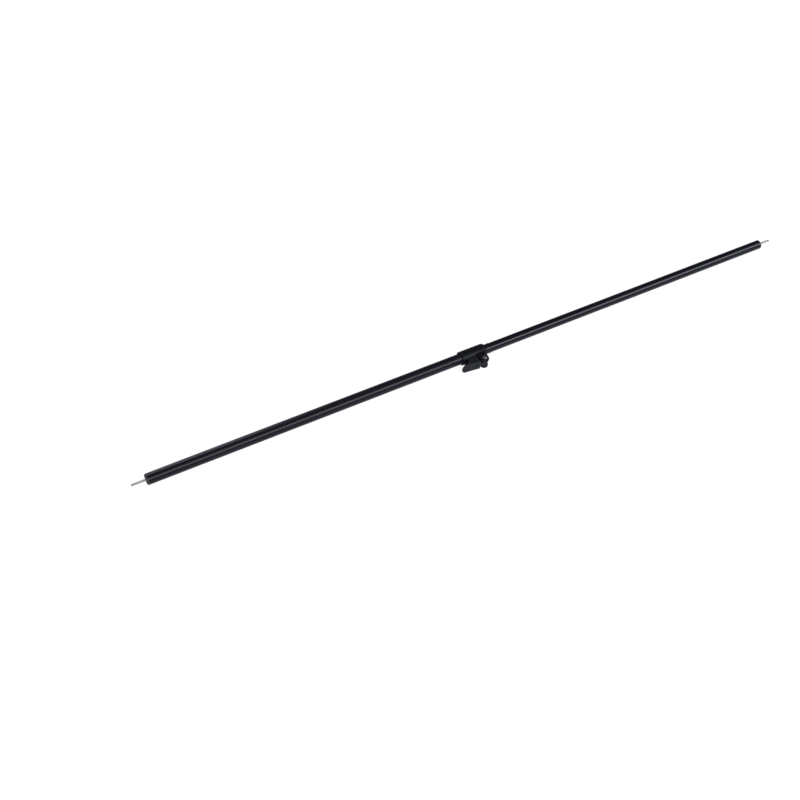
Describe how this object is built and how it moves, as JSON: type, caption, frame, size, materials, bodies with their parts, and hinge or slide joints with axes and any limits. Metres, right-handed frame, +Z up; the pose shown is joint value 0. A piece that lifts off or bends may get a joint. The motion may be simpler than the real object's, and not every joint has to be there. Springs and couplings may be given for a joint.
{
  "type": "telescopic spigot pole",
  "caption": "Telescopic black pole in two sections, with a cam lever clamp at the middle and a steel spigot pin at each end.",
  "frame": {"origin": "on the pole's axis at the outer tube's butt end, where the butt spigot's free pin begins", "axes": "+X along the pole from the butt end to the tip end, +Z up and parallel to the lever's pivot, clamp ears and lever towards -Y"},
  "size_m": [1.713, 0.0574, 0.032],
  "materials": {
    "tube_coating": "satin",
    "clamp_nylon": "satin",
    "lever_nylon": "matte",
    "liner_nylon": "satin",
    "plug_plastic": "satin",
    "glide_plastic": "satin",
    "insert_nylon": "satin",
    "pad_rubber": "matte",
    "spigot_steel": "satin",
    "fastener_steel": "satin"
  },
  "bodies": {
    "outer_section": {"outer_tube": "tube_coating", "butt_plug": "plug_plastic", "butt_spigot": "spigot_steel", "clamp_body": "clamp_nylon", "body_screws": "fastener_steel", "liner_sleeve": "liner_nylon", "hub_bush": "fastener_steel", "pivot_bolt": "fastener_steel", "lock_nut": "fastener_steel", "nut_insert": "insert_nylon", "pivot_washers": "fastener_steel"},
    "lever": {"cam_lever": "lever_nylon"},
    "shoe": {"pressure_shoe": "liner_nylon", "shoe_pad": "pad_rubber"},
    "glide": {"glide_ring": "glide_plastic"},
    "tip_section": {"inner_tube": "tube_coating", "stop_plug": "plug_plastic", "tip_plug": "plug_plastic", "tip_spigot": "spigot_steel"}
  },
  "joints": [
    {"name": "lever_swing", "type": "hinge", "parent": "outer_section", "child": "lever", "pos_m": [0.809, -0.03, 0], "axis": [0, 0, 1], "range_deg": [0, 150]},
    {"name": "shoe_press", "type": "slide", "parent": "outer_section", "child": "shoe", "axis": [0, -1, 0], "range_m": [0, 0.0012]},
    {"name": "tube_slide", "type": "slide", "parent": "outer_section", "child": "glide", "axis": [1, 0, 0], "range_m": [-0.68, 0.045]},
    {"name": "tube_turn", "type": "hinge", "parent": "glide", "child": "tip_section", "pos_m": [0.722, 0, 0], "axis": [1, 0, 0], "continuous": true}
  ],
  "couplings": [
    {"joint": "shoe_press", "follows": "lever_swing", "m_per_rad": 0.000458}
  ]
}
